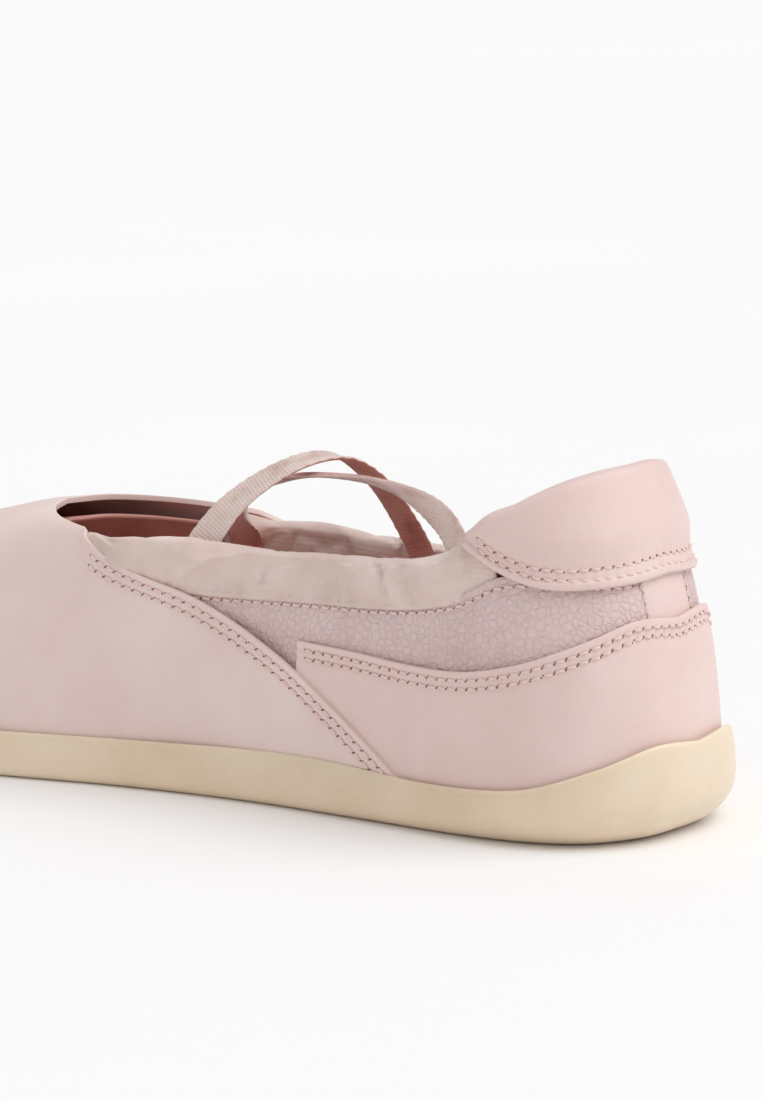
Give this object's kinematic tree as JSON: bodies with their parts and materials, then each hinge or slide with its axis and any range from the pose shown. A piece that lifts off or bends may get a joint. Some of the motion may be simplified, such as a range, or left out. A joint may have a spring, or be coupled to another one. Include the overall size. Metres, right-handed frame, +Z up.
{
  "type": "ballet slipper",
  "caption": "Pale pink leather ballet slipper with a padded heel tab, stitched heel foxing, crossed elastic straps and a gum cup sole.",
  "frame": {"origin": "on the ground, under the middle of the slipper's box", "axes": "+Y towards the toe, +X towards the wearer's right (the outer side of this right-foot slipper), +Z up"},
  "size_m": [0.0878, 0.2498, 0.0759],
  "materials": {
    "smooth_leather": "satin",
    "grain_leather": "satin",
    "collar_satin": "satin",
    "lining_textile": "matte",
    "foam": "matte",
    "board": "matte",
    "gum_rubber": "satin",
    "elastic": "matte"
  },
  "bodies": {
    "root": {"outsole": "gum_rubber", "insole_board": "board", "midsole_cushion": "foam", "sock_liner": "lining_textile", "quarter_medial": "grain_leather", "quarter_lateral": "grain_leather", "collar_medial": "collar_satin", "collar_lateral": "collar_satin", "collar_foam_medial": "foam", "collar_foam_lateral": "foam", "quarter_lining_medial": "lining_textile", "quarter_lining_lateral": "lining_textile", "backstay": "smooth_leather", "heel_counter": "board", "heel_foxing": "smooth_leather", "heel_tab": "smooth_leather", "heel_tab_foam": "foam", "heel_lining": "lining_textile", "vamp": "smooth_leather", "vamp_lining": "lining_textile", "toe_puff": "board", "strap_medial_rear": "elastic", "strap_lateral_rear": "elastic"}
  },
  "joints": []
}
